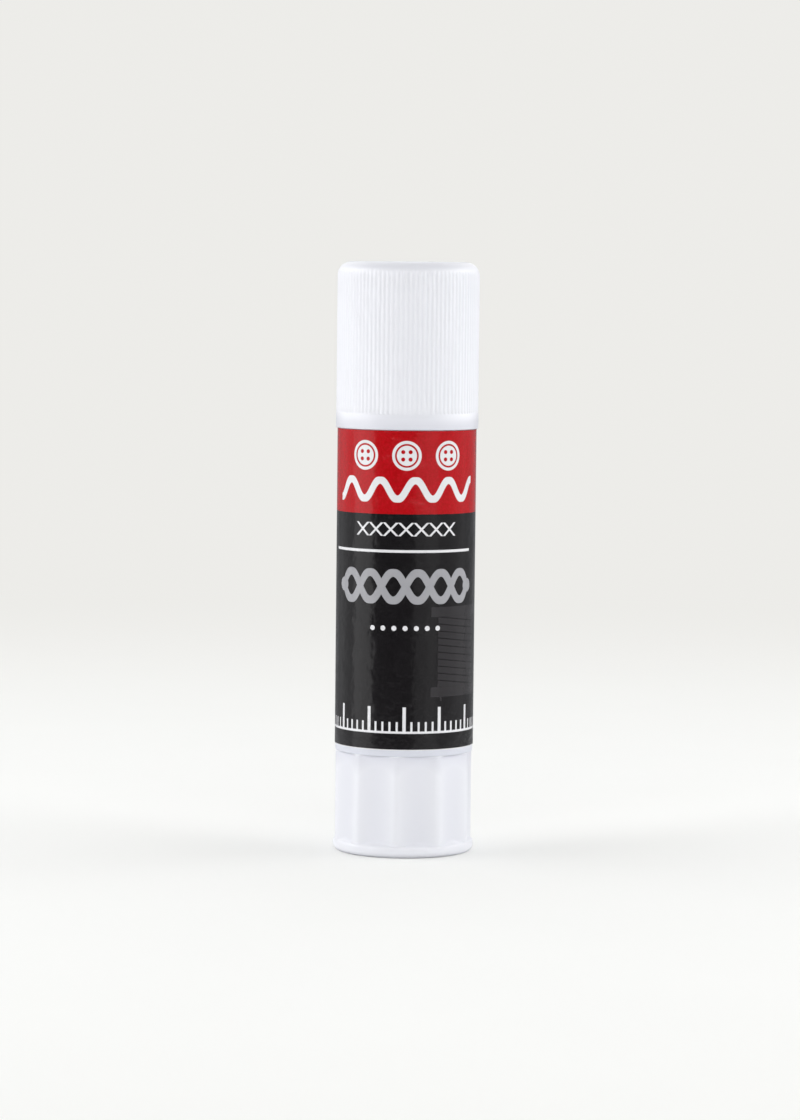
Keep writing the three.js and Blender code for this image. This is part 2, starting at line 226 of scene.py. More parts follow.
def make_cap(material):
    rib_low = cap_bottom + CAP_RIM_HEIGHT
    edge_start = cap_top - CAP_EDGE
    crest = cap_radius - CAP_RIB_INSET
    seat = neck_top + CAP_SEAT_RISE
    ceiling = cap_top - CAP_TOP_WALL
    half_bead = BEAD_WIDTH / 2
    # The ceiling and the gate dimple meet the axis, so the outline is drawn from one to the other
    corners = [
        (0, ceiling),
        (CAP_SEAT_RADIUS, ceiling, *CAP_CEILING_CORNER),
        (CAP_SEAT_RADIUS, seat, *SEAT_EDGE),
        (CAP_INNER_RADIUS, seat, *SEAT_EDGE),
        (CAP_INNER_RADIUS, bead_middle + half_bead),
        (CAP_INNER_RADIUS + CAP_SNAP_DEPTH, bead_middle),
        (CAP_INNER_RADIUS, bead_middle - half_bead),
        (CAP_INNER_RADIUS, rim_bottom + CAP_MOUTH_LEAD, *SMALL_EDGE),
        (CAP_INNER_RADIUS + CAP_MOUTH_LEAD, rim_bottom, *SEAT_EDGE),
        (cap_radius, rim_bottom, *CAP_MOUTH_EDGE),
        (cap_radius, rib_low - CAP_RIB_INSET),
        (crest, rib_low),
        (crest, rib_low + CAP_RUN_OUT / 2),
        (crest, rib_low + CAP_RUN_OUT),
        (crest, cap_top, CAP_EDGE, CAP_EDGE_STEPS),
        (CAP_GATE_RADIUS, cap_top, *DIMPLE_EDGE),
        (CAP_GATE_RADIUS - CAP_GATE_DEPTH, cap_top - CAP_GATE_DEPTH, *DIMPLE_EDGE),
        (0, cap_top - CAP_GATE_DEPTH),
    ]
    cap = turned("cap_shell", corners, CAP_RIBS * CAP_RIB_COLUMNS, closed=False)
    for offset in range(CAP_RIB_COLUMNS // 2):
        share = cos(pi * offset / CAP_RIB_COLUMNS) ** (2 * CAP_RIB_SHARPNESS)
        for start, end, depth in CAP_GROOVE_PASSES:
            low = rib_low + start * CAP_RUN_OUT
            high = edge_start + end * CAP_EDGE

            def in_groove(point):
                outside = reach(point) > cap_radius - CAP_EDGE / 2
                return groove_offset(point) == offset and low < point.z < high and outside

            select(cap, in_groove)
            scale_radius(1 - CAP_RIB_DEPTH * share * depth / crest)
    finish_piece(cap, "cap", "cap", material, smooth=50)


# Barrel


BARREL_OUTER = 9.85 * MM
BARREL_FLOOR = 1.2 * MM
BARREL_COLUMNS = 180
BARREL_LOWER_EDGE = (0.02 * MM, 2)
BARREL_SHOULDER_EDGE = (0.04 * MM, 2)
BEAD_HEIGHT = 0.12 * MM
BEAD_CROWN = (0.2 * MM, 3)
NECK_EDGE = (0.4 * MM, 4)
KEY_TOP_DROP = 1.5 * MM
KEY_HALF_TURN = 4.2
KNOB_INNER_RADIUS = 8.37 * MM
SPIGOT_WALL = 1.1 * MM
SPIGOT_RADIUS = KNOB_INNER_RADIUS - 0.25 * MM
SPIGOT_INNER_EDGE = (0.2 * MM, 2)
CAP_STEP = 0.14 * MM
CAP_STEP_RADIUS = 9.68 * MM
KNOB_STEP = 0.1 * MM
KNOB_STEP_RADIUS = 9.28 * MM
JOURNAL_HOLE = 3.02 * MM
BORE_TOLERANCE = 0.05 * MM


def key_offset(point):
    """Degrees between a point and the nearest key."""
    pitch = 360 / KEY_COUNT
    return abs((turn_of(point) + pitch / 2) % pitch - pitch / 2)


def make_barrel(material):
    floor_top = floor_bottom + BARREL_FLOOR
    spigot_inner = SPIGOT_RADIUS - SPIGOT_WALL
    key_top = neck_top - KEY_TOP_DROP
    corners = [
        (spigot_inner, barrel_bottom, *SPIGOT_INNER_EDGE),
        (SPIGOT_RADIUS, barrel_bottom, *DEEP_CORNER),
        (SPIGOT_RADIUS, lower_edge - KNOB_STEP, *SMALL_EDGE),
        (KNOB_STEP_RADIUS, lower_edge - KNOB_STEP),
        (KNOB_STEP_RADIUS, lower_edge, *CRISP_EDGE),
        (BARREL_OUTER, lower_edge, *BARREL_LOWER_EDGE),
        (BARREL_OUTER, shoulder, *BARREL_SHOULDER_EDGE),
        (CAP_STEP_RADIUS, shoulder, *CRISP_EDGE),
        (CAP_STEP_RADIUS, shoulder + CAP_STEP),
        (NECK_RADIUS, shoulder + CAP_STEP, *SMALL_EDGE),
        (NECK_RADIUS, bead_middle - BEAD_WIDTH / 2, *SOFT_EDGE),
        (NECK_RADIUS + BEAD_HEIGHT, bead_middle, *BEAD_CROWN),
        (NECK_RADIUS, bead_middle + BEAD_WIDTH / 2, *SOFT_EDGE),
        (NECK_RADIUS, neck_top, *NECK_EDGE),
        (BORE_RADIUS, neck_top, *ROUND_EDGE),
        (BORE_RADIUS, key_top),
        (BORE_RADIUS, floor_top, *DEEP_CORNER),
        (JOURNAL_HOLE, floor_top, *SMALL_EDGE),
        (JOURNAL_HOLE, floor_bottom, *SMALL_EDGE),
        (spigot_inner, floor_bottom, *WIDE_CORNER),
    ]
    barrel = turned("barrel_tube", corners, BARREL_COLUMNS, closed=True)

    def on_key(point):
        inside = abs(reach(point) - BORE_RADIUS) < BORE_TOLERANCE
        return inside and floor_top < point.z < key_top and key_offset(point) < KEY_HALF_TURN

    select(barrel, on_key, "faces")
    bpy.ops.mesh.extrude_region_move()
    scale_radius(1 - KEY_HEIGHT / BORE_RADIUS)
    finish_piece(barrel, "barrel", "barrel", material)


# Label


LABEL_COLUMNS = 240
LABEL_FILM = 0.08 * MM
LABEL_LAP_MIDDLE = 90
LABEL_LAP_HALF = 6.1
LABEL_LAP_RAMP = 0.5


def make_label(material):
    corners = [
        (label_radius - LABEL_FILM, label_bottom),
        (label_radius, label_bottom),
        (label_radius, film_top),
        (label_radius - LABEL_FILM, film_top),
    ]
    label = turned("wrapped_label", corners, LABEL_COLUMNS, closed=True)

    def on_lap(point):
        near = abs(turn_of(point) - LABEL_LAP_MIDDLE) < LABEL_LAP_HALF
        return near and reach(point) > label_radius - LABEL_FILM / 4

    select(label, on_lap, "faces")
    bpy.ops.mesh.extrude_region_move()
    scale_radius(1 + LABEL_FILM / label_radius)

    def on_ramp(point):
        turn = turn_of(point) - LABEL_LAP_MIDDLE + LABEL_LAP_HALF
        return 0 < turn < LABEL_LAP_RAMP and reach(point) > label_radius + LABEL_FILM / 2

    select(label, on_ramp)
    scale_radius(label_radius / (label_radius + LABEL_FILM))
    bpy.ops.mesh.select_all(action="SELECT")
    bpy.ops.mesh.remove_doubles(threshold=WELD)
    finish_piece(label, "barrel", "label", material, smooth=30)


# Turning knob


FLUTES = 10
FLUTE_COLUMNS = 36
FLUTE_PHASE = -96
RIDGE_RADIUS = 9.97 * MM
FLUTE_DEPTH = 0.65 * MM
RIDGE_HALF_WIDTH = 0.7 * MM
RIDGE_CROWN = 0.19 * MM
FOOT_HEIGHT = 1.6 * MM
FOOT_EDGE = 0.9 * MM
FOOT_EDGE_STEPS = 6
FOOT_UPPER_EDGE = (0.25 * MM, 4)
FOOT_FILLET = 0.8 * MM
FOOT_FILLET_SWEEP = 60
FOOT_FILLET_STEPS = 7
FOOT_RING = 1.9 * MM
FOOT_RECESS = 0.5 * MM
GATE_RADIUS = 0.8 * MM
GATE_DEPTH = 0.1 * MM
KNOB_FLOOR = 1.1 * MM
SOCKET_RADIUS = 3.69 * MM
SOCKET_BORE = 2.75 * MM
SOCKET_RISE = 0.2 * MM
GRIP_EDGE = (0.03 * MM, 2)
WALL_MARGIN = 0.3 * MM
RISE_MARGIN = 0.1 * MM
LEVEL_TOLERANCE = 0.01 * MM
RING_TOLERANCE = 0.05 * MM
trough_radius = RIDGE_RADIUS - FLUTE_DEPTH


def grip_radius(turn):
    """Radius of the fluted grip at an angle in degrees from the nearest ridge."""
    edge = sqrt(RIDGE_RADIUS**2 - RIDGE_HALF_WIDTH**2) - RIDGE_CROWN
    edge_turn = atan2(RIDGE_HALF_WIDTH, edge)
    middle = pi / FLUTES
    distance = hypot(RIDGE_HALF_WIDTH, edge)
    half_chord = distance * sin(middle - edge_turn)
    sink = distance * cos(middle - edge_turn) - trough_radius
    bend = (half_chord**2 + sink**2) / (2 * sink)
    angle = radians(turn)
    if angle < edge_turn:
        share = angle / edge_turn
        return RIDGE_RADIUS + (distance - RIDGE_RADIUS) * share**2
    away = middle - angle
    centre = trough_radius + bend
    return centre * cos(away) - sqrt(bend**2 - (centre * sin(away)) ** 2)


def ridge_offset(point):
    """Columns between a point of the knob and the nearest ridge."""
    column = 360 / (FLUTES * FLUTE_COLUMNS)
    place = round((turn_of(point) - FLUTE_PHASE) / column) % FLUTE_COLUMNS
    return min(place, FLUTE_COLUMNS - place)


def make_knob(material):
    floor_top = FOOT_RECESS + KNOB_FLOOR
    fillet_top = FOOT_HEIGHT + FOOT_FILLET
    ring_inner = foot_radius - FOOT_EDGE - FOOT_RING
    rings = []
    for step in range(FOOT_FILLET_STEPS + 1):
        angle = radians(FOOT_FILLET_SWEEP * (1 - step / FOOT_FILLET_STEPS))
        radius = trough_radius + FOOT_FILLET * (1 - cos(angle))
        rings.append((radius, fillet_top - FOOT_FILLET * sin(angle)))
    corners = [
        (0, FOOT_RECESS + GATE_DEPTH),
        (GATE_RADIUS - GATE_DEPTH, FOOT_RECESS + GATE_DEPTH, *DIMPLE_EDGE),
        (GATE_RADIUS, FOOT_RECESS, *DIMPLE_EDGE),
        (ring_inner - FOOT_RECESS, FOOT_RECESS, *ROUND_EDGE),
        (ring_inner, 0, *SMALL_EDGE),
        (foot_radius, 0, FOOT_EDGE, FOOT_EDGE_STEPS),
        (foot_radius, FOOT_HEIGHT, *FOOT_UPPER_EDGE),
        *rings,
        (trough_radius, grip_top, *GRIP_EDGE),
        (KNOB_INNER_RADIUS, grip_top, *SOFT_EDGE),
        (KNOB_INNER_RADIUS, floor_top, *DEEP_CORNER),
        (SOCKET_RADIUS, floor_top, *WIDE_CORNER),
        (SOCKET_RADIUS, knob_top, *SOFT_EDGE),
        (SOCKET_BORE, knob_top, *SMALL_EDGE),
        (SOCKET_BORE, floor_top + SOCKET_RISE),
        (0, floor_top + SOCKET_RISE),
    ]
    knob = turned("turning_knob", corners, FLUTES * FLUTE_COLUMNS, closed=False)
    for offset in range(FLUTE_COLUMNS // 2 + 1):
        target = grip_radius(offset * 360 / (FLUTES * FLUTE_COLUMNS))

        def on_wall(point):
            outside = reach(point) > KNOB_INNER_RADIUS + WALL_MARGIN
            above = point.z > fillet_top + RISE_MARGIN
            return ridge_offset(point) == offset and above and outside

        select(knob, on_wall)
        scale_radius(target / trough_radius)
        for radius, height in rings:
            if target > radius + WELD:

                def on_ring(point):
                    level = abs(point.z - height) < LEVEL_TOLERANCE
                    near = abs(reach(point) - radius) < RING_TOLERANCE
                    return ridge_offset(point) == offset and level and near

                select(knob, on_ring)
                scale_radius(target / radius)
    finish_piece(knob, "knob", "base_knob", material, smooth=35)


# Glue


GLUE_COLUMNS = 120
GLUE_DOME = 0.25 * MM
GLUE_DOME_CORNER = (0.8 * MM, 3)
GLUE_EDGE = 0.6 * MM
GLUE_EDGE_STEPS = 6
GLUE_FOOT_EDGE = (0.2 * MM, 2)
GLUE_KEY_HALF_TURN = 6.2
GLUE_GAP = 0.1 * MM
GLUE_TIP_COVER = 1.5 * MM
CUP_WALL = 0.9 * MM
CUP_HEIGHT = 5.2 * MM
NUT_SPACE = 4.7 * MM
SCREW_SPACE = 3.2 * MM


def make_glue(material):
    above_cup = carrier_bottom + CUP_HEIGHT + GLUE_GAP
    above_nut = nut_top + GLUE_GAP
    plug = carrier_radius - CUP_WALL - GLUE_GAP
    bore_end = glue_top - GLUE_TIP_COVER
    corners = [
        (0, glue_top),
        (glue_radius / 2, glue_top - GLUE_DOME / 4, *GLUE_DOME_CORNER),
        (glue_radius, glue_top - GLUE_DOME, GLUE_EDGE, GLUE_EDGE_STEPS),
        (glue_radius, above_cup, *SMALL_EDGE),
        (plug, above_cup, *SMALL_EDGE),
        (plug, glue_bottom, *GLUE_FOOT_EDGE),
        (NUT_SPACE, glue_bottom),
        (NUT_SPACE, above_nut),
        (SCREW_SPACE, above_nut),
        (SCREW_SPACE, bore_end, *DEEP_CORNER),
        (0, bore_end),
    ]
    glue = turned("glue_column", corners, GLUE_COLUMNS, closed=False)

    def on_groove(point):
        outside = reach(point) > glue_radius - GLUE_EDGE
        return outside and point.z > above_cup and key_offset(point) < GLUE_KEY_HALF_TURN

    select(glue, on_groove, "faces")
    bpy.ops.mesh.extrude_region_move()
    scale_radius(1 - KEY_HEIGHT / glue_radius)
    finish_piece(glue, "carrier", "glue", material)


# Surface finishes: Python's operators on a Number add Math nodes


class Number:
    """A number that varies over a surface."""

    def __init__(self, nodes, socket):
        self.nodes = nodes
        self.socket = socket

    def maths(self, operation, *values, clamp=False):
        settings = {"operation": operation, "use_clamp": clamp}
        node = self.nodes.node("ShaderNodeMath", settings, dict(enumerate([self, *values])))
        return Number(self.nodes, node.outputs[0])

    def __add__(self, other):
        return self.maths("ADD", other)

    __radd__ = __add__

    def __sub__(self, other):
        return self.maths("SUBTRACT", other)

    def __rsub__(self, other):
        return (self * -1) + other

    def __mul__(self, other):
        return self.maths("MULTIPLY", other)

    __rmul__ = __mul__

    def __truediv__(self, other):
        return self.maths("DIVIDE", other)

    def __abs__(self):
        return self.maths("ABSOLUTE")

    def under(self, limit, blur):
        """1 where this is under a limit, 0 where it is over, with a soft edge."""
        return (((self - limit) * (-1 / blur)) + 0.5).maths("ADD", 0, clamp=True)

    def over(self, limit, blur):
        """1 where this is over a limit, 0 where it is under, with a soft edge."""
        return (((self - limit) * (1 / blur)) + 0.5).maths("ADD", 0, clamp=True)


def length(first, second):
    return (first * first + second * second).maths("SQRT")


def any_of(*masks):
    whole = masks[0]
    for mask in masks[1:]:
        whole = whole.maths("MAXIMUM", mask)
    return whole


class Nodes:
    """The nodes of a material or of the world."""

    def __init__(self, tree):
        self.tree = tree

    def node(self, kind, settings=None, inputs=None):
        """Adds any node: its settings first, then the values or links of its sockets."""
        node = self.tree.nodes.new(kind)
        for name, value in (settings or {}).items():
            setattr(node, name, value)
        for socket, value in (inputs or {}).items():
            self.plug(node.inputs[socket], value)
        return node

    def plug(self, socket, value):
        if isinstance(value, Number):
            value = value.socket
        if isinstance(value, bpy.types.NodeSocket):
            self.tree.links.new(value, socket)
        else:
            socket.default_value = value


class Finish(Nodes):
    """One material, built from nodes on the stick's own coordinates, in millimetres."""

    def __init__(self, name, **constants):
        self.material = bpy.data.materials.new(name)
        self.material.use_nodes = True
        super().__init__(self.material.node_tree)
        self.shader = self.tree.nodes["Principled BSDF"]
        for socket, value in constants.items():
            self.shader.inputs[socket.replace("_", " ")].default_value = value
        place = self.node("ShaderNodeTexCoord").outputs["Object"]
        inputs = {"Vector": place, "Scale": 1 / MM}
        self.place = self.node("ShaderNodeVectorMath", {"operation": "SCALE"}, inputs).outputs[0]
        apart = self.node("ShaderNodeSeparateXYZ", {}, {0: self.place})
        self.x, self.y, self.z = (Number(self, apart.outputs[axis]) for axis in "XYZ")

    def reach(self):
        """Distance from the stick's axis."""
        return length(self.x, self.y)

    def noise(self, size, detail=2, roughness=0.5, stretch=(1, 1, 1)):
        """Soft random shading from 0 to 1 in spots of a size in millimetres."""
        inputs = {0: self.place, 1: stretch}
        vector = self.node("ShaderNodeVectorMath", {"operation": "MULTIPLY"}, inputs).outputs[0]
        inputs = {"Vector": vector, "Scale": 1 / size, "Detail": detail, "Roughness": roughness}
        return Number(self, self.node("ShaderNodeTexNoise", {}, inputs).outputs[0])

    def mix(self, share, low, high):
        """A colour between two others."""
        settings = {"data_type": "RGBA", "clamp_factor": True}
        inputs = {0: share, 6: low, 7: high}
        return self.node("ShaderNodeMix", settings, inputs).outputs[2]

    def colour(self, value):
        self.plug(self.shader.inputs["Base Color"], value)

    def roughness(self, value):
        self.plug(self.shader.inputs["Roughness"], value)

    def bump(self, height, depth):
        """Relief of a depth in millimetres where height goes from 0 to 1."""
        inputs = {"Height": height, "Distance": depth * MM, "Strength": 1}
        relief = self.node("ShaderNodeBump", {}, inputs).outputs[0]
        self.plug(self.shader.inputs["Normal"], relief)


def colour(red, green, blue):
    """A colour given as it looks on a screen, from 0 to 255, as Blender's linear values."""
    linear = [((c / 255 + 0.055) / 1.055) ** 2.4 for c in (red, green, blue)]
    return (*linear, 1)


# White plastic: sizes of its clouding and grain in millimetres, and how far they sway the gloss
CLOUD_SIZE = 14
CLOUD_GLOSS = 0.03
GRAIN_SIZE = 0.4
GRAIN_GLOSS = 0.01
GRAIN_DEPTH = 0.0002

# Painted shade: levels and fades in millimetres, and shares of the painted shade tone
PAINTED_SHADE_TONE = colour(222, 223, 231)
KNOB_TOP_DROP = 1.2
KNOB_TOP_FADE = 3.5
KNOB_TOP_SHARE = 1.1
KNOB_SEAM_DROP = 0.12
KNOB_SEAM_FADE = 0.1
KNOB_SEAM_SHARE = 0.8
FLUTE_SHARE = 0.45
CAP_RIM_FADE = 2
CAP_RIM_SHARE = 0.74
CAP_EDGE_LEVEL = 0.4
CAP_EDGE_HALF = 0.45
CAP_EDGE_FADE = 0.7
CAP_EDGE_SHARE = 0.42
GROOVE_SHARE = 0.24


def painted_shade_on_knob(finish):
    """Painted shade on the knob under the barrel's ring and a little in the flutes, taken back
    right at the seam as painted light.
    """
    # painted shadow under the barrel's ring, painted shade in the flutes, and painted light that
    # lifts it right at the seam
    shade_under_ring = finish.z.over(grip_top / MM - KNOB_TOP_DROP, KNOB_TOP_FADE) * KNOB_TOP_SHARE
    seam_lift = finish.z.over(grip_top / MM - KNOB_SEAM_DROP, KNOB_SEAM_FADE) * KNOB_SEAM_SHARE
    halfway = (RIDGE_RADIUS - FLUTE_DEPTH / 2) / MM
    flute_shade = finish.reach().under(halfway, FLUTE_DEPTH / MM) * FLUTE_SHARE
    return any_of(shade_under_ring, flute_shade) - seam_lift


def painted_shade_on_cap(finish):
    """Painted shade on the cap's rim, round its top edge and a little in the grooves."""
    # painted shade: the rim band, a band below the top edge and the bottoms of the grooves
    rim = finish.z.under((cap_bottom + CAP_RIM_HEIGHT) / MM, CAP_RIM_FADE) * CAP_RIM_SHARE
    level = abs(finish.z - (cap_top - CAP_EDGE * CAP_EDGE_LEVEL) / MM)
    top = level.under(CAP_EDGE_HALF, CAP_EDGE_FADE) * CAP_EDGE_SHARE
    halfway = (cap_radius - CAP_RIB_INSET - CAP_RIB_DEPTH / 2) / MM
    groove = finish.reach().under(halfway, CAP_RIB_DEPTH / MM) * GROOVE_SHARE
    return any_of(rim, top, groove)


def moulded_plastic(name, light, shade, roughness, painted_shade=None):
    """White polypropylene with faint clouding and a fine grain, and painted shade where a mask says
    so.
    """
    finish = Finish(name, IOR=1.49)
    clouds = finish.noise(CLOUD_SIZE, detail=1)
    grain = finish.noise(GRAIN_SIZE, detail=1)
    tone = finish.mix(clouds, light, shade)
    # painted shade: the colour is mixed towards a darker tone where the mask says so
    if painted_shade is not None:
        tone = finish.mix(painted_shade(finish), tone, PAINTED_SHADE_TONE)
    finish.colour(tone)
    sway = (clouds - 0.5) * CLOUD_GLOSS + (grain - 0.5) * GRAIN_GLOSS
    finish.roughness(sway + roughness)
    finish.bump(grain, GRAIN_DEPTH)
    return finish.material


# Glue: sizes and depths in millimetres
GLUE_LIGHT = colour(240, 238, 228)
GLUE_SHADE = colour(228, 225, 212)
GLUE_CLOUD_SIZE = 4
GLUE_SMEAR_SIZE = 1.4
GLUE_SMEAR_STRETCH = (1, 1, 0.12)
GLUE_SMEAR_GLOSS = 0.25
GLUE_ROUGHNESS = 0.45
GLUE_RELIEF = 0.06


def waxy_glue():
    """Cream glue: cloudy, a little see-through, and smeared along its length."""
    finish = Finish(
        "glue_wax",
        IOR=1.45,
        Subsurface_Weight=0.35,
        Subsurface_Scale=1.2 * MM,
        Subsurface_Radius=(1, 0.9, 0.7),
    )
    clouds = finish.noise(GLUE_CLOUD_SIZE, detail=4)
    smears = finish.noise(GLUE_SMEAR_SIZE, detail=4, roughness=0.6, stretch=GLUE_SMEAR_STRETCH)
    finish.colour(finish.mix(clouds, GLUE_LIGHT, GLUE_SHADE))
    finish.roughness((smears - 0.5) * GLUE_SMEAR_GLOSS + GLUE_ROUGHNESS)
    finish.bump(clouds * 0.5 + smears * 0.5, GLUE_RELIEF)
    return finish.material


# The print on the label, in millimetres on the label unrolled: across from the middle of its
# front, and up from the floor


PRINT_EDGE = 0.05
RED_BAND_BOTTOM = 48.95
WHITE_MARGIN = 0.14
BLACK_INK = (colour(18, 16, 18), colour(26, 24, 26))
RED_INK = (colour(174, 0, 8), colour(190, 0, 20))
SPOOL_INK = colour(50, 48, 50)
CORD_INK = colour(168, 168, 172)
WHITE_INK = colour(236, 236, 238)

# The film: sizes and depths in millimetres
INK_SPOTS = 0.32
INK_SPOT_FADE = 0.4
CREASE_SIZE = 3.2
PEEL_SIZE = 0.8
CREASE_GLOSS = 0.12
INK_GLOSS = 0.04
FILM_ROUGHNESS = 0.19
CREASE_SHARE = 0.8
PEEL_SHARE = 0.16
PRINT_SHARE = 0.02
FILM_RELIEF = 0.18


class Artwork:
    """The white rule and the generic sewing motifs, each as a mask over the label."""

    def __init__(self, finish):
        self.across = finish.x.maths("ARCTAN2", finish.y * -1) * (label_radius / MM)
        self.up = finish.z

    def stroke(self, distance, half):
        """A line along where a distance is 0, with half its width to each side."""
        return abs(distance).under(half, PRINT_EDGE)

    def within(self, value, low, high):
        return value.over(low, PRINT_EDGE) * value.under(high, PRINT_EDGE)

    def spot(self, middle, level):
        """Distance from a point of the label."""
        return length(self.across - middle, self.up - level)

    def wavy(self, level, pitch, height, half):
        """A ribbon of even width that waves about a level."""
        turns = self.across * (tau / pitch)
        slope = turns.maths("COSINE") * (height * tau / pitch)
        away = self.up - level - turns.maths("SINE") * height
        return self.stroke(away / (slope * slope + 1).maths("SQRT"), half)

    def buttons(self):
        level, radius = 57.2, 2.1
        ring_radius, ring_half = 1.55, 0.13
        hole_place, hole_radius = 0.52, 0.29
        masks = []
        for middle in (-6.3, 0, 6.3):
            away = self.spot(middle, level)
            disc = away.under(radius, PRINT_EDGE) * (1 - self.stroke(away - ring_radius, ring_half))
            hole_across = abs(self.across - middle) - hole_place
            hole_up = abs(self.up - level) - hole_place
            masks.append(disc * length(hole_across, hole_up).over(hole_radius, PRINT_EDGE))
        return any_of(*masks)

    def braid(self):
        end = 11.45
        ribbon = self.wavy(level=52.4, pitch=5.09, height=1.3, half=0.5)
        return ribbon * self.within(self.across, -end, end)

    def crosses(self):
        level, half_pitch, half, tip, end = 46.8, 1.1, 0.2, 0.95, 7.7
        away = abs(self.up - level)
        lines = self.stroke(self.across.maths("PINGPONG", half_pitch) - away, half)
        return lines * away.under(tip, PRINT_EDGE) * self.within(self.across, -end, end)

    def rule(self):
        level, half, left, right = 43.7, 0.19, -13, 11.2
        return self.stroke(self.up - level, half) * self.within(self.across, left, right)

    def cord(self):
        level, pitch, height, half, end, knot_radius = 38.7, 7, 1.95, 0.55, 10.5, 1
        strands = any_of(
            self.wavy(level, pitch, height, half), self.wavy(level, pitch, -height, half)
        )
        knots = [self.spot(place, level).under(knot_radius, PRINT_EDGE) for place in (-end, end)]
        return any_of(strands * self.within(self.across, -end, end), *knots)

    def dots(self):
        level, half_pitch, radius, end = 32.8, 0.8, 0.36, 5.6
        away = length(self.across.maths("PINGPONG", half_pitch), self.up - level)
        return away.under(radius, PRINT_EDGE) * self.within(self.across, -end, end)

    def ruler(self):
        level, marks, marks_per_long, line_half = 18, 60, 5, 0.16
        pitch = tau * label_radius / MM / marks
        short_half, short_top = 0.15, 19.5
        long_half, long_top = 0.24, 21.6
        short = self.across.maths("PINGPONG", pitch / 2).under(short_half, PRINT_EDGE)
        long = self.across.maths("PINGPONG", pitch * marks_per_long / 2)
        return any_of(
            short * self.within(self.up, level, short_top),
            long.under(long_half, PRINT_EDGE) * self.within(self.up, level, long_top),
            self.stroke(self.up - level, line_half),
        )

    def spool(self):
        """A faint reel of thread with a loose end."""
        middle, level = 8.8, 29.4
        flange_half, flange_low, flange_high = 5, 5, 6.4
        thread_half, turn_half, turn_gap, lay = 3.9, 0.5, 0.08, 0.12
        loose_place, loose_half, loose_wave, loose_bends = 5.4, 0.16, 0.5, 0.55
        loose_low, loose_high = 22.4, 24.8
        beside, away = abs(self.across - middle), abs(self.up - level)
        flanges = beside.under(flange_half, PRINT_EDGE) * self.within(away, flange_low, flange_high)
        winding = (self.up + self.across * lay).maths("PINGPONG", turn_half)
        thread = beside.under(thread_half, PRINT_EDGE) * away.under(flange_low, PRINT_EDGE)
        thread = thread * winding.over(turn_gap, PRINT_EDGE)
        bends = (self.up * loose_bends).maths("SINE") * loose_wave
        loose = self.stroke(self.across - loose_place + bends, loose_half)
        return any_of(flanges, thread, loose * self.within(self.up, loose_low, loose_high))

    def white_print(self):
        margin = self.up.under(label_bottom / MM + WHITE_MARGIN, PRINT_EDGE)
        motifs = (self.buttons(), self.braid(), self.crosses(), self.rule(), self.dots())
        return any_of(*motifs, self.ruler(), margin)


def label_film():
    """Glossy printed film: red over black, with a white rule and generic sewing motifs."""
    finish = Finish("label_print", IOR=1.47)
    artwork = Artwork(finish)
    ink = finish.noise(INK_SPOTS, detail=1)
    mottle = ink.over(0.5, INK_SPOT_FADE)
    black, red = finish.mix(mottle, *BLACK_INK), finish.mix(mottle, *RED_INK)
    ground = finish.mix(artwork.up.over(RED_BAND_BOTTOM, PRINT_EDGE), black, red)
    ground = finish.mix(artwork.spool(), ground, SPOOL_INK)
    ground = finish.mix(artwork.cord(), ground, CORD_INK)
    white = artwork.white_print()
    finish.colour(finish.mix(white, ground, WHITE_INK))
    creases = finish.noise(CREASE_SIZE, detail=2)
    peel = finish.noise(PEEL_SIZE, detail=1)
    sway = (creases - 0.5) * CREASE_GLOSS + (ink - 0.5) * INK_GLOSS
    finish.roughness(sway + FILM_ROUGHNESS)
    relief = creases * CREASE_SHARE + peel * PEEL_SHARE + white * PRINT_SHARE
    finish.bump(relief, FILM_RELIEF)
    return finish.material


# Stage, light and camera


BACKDROP = (0.847, 0.841, 0.815, 1)
SKY = (0.95, 0.97, 1, 1)
SKY_FRONT = -0.9
SKY_BACK = 0.3
SKY_FRONT_STRENGTH = 0.05
SKY_BACK_STRENGTH = 0.3
FLOOR_RADIUS = 3.5
FLOOR_COLUMNS = 128
FLOOR_BOUNCE = (0.8, 0.8, 0.8, 1)
PAPER_DARK = (0.945, 0.947, 0.925, 1)
PAPER_LIGHT = (0.965, 0.967, 0.945, 1)
PAPER_SPOTS = 40

# The floor fades into the backdrop between these distances from the stick, for the light that
# falls on it, for the camera and for reflections
FLOOR_NEAR = 0.12
FLOOR_FAR = 0.6
SEEN_NEAR = 0.05
SEEN_FAR = 0.45
GLOSS_NEAR = 0.03
GLOSS_FAR = 0.16


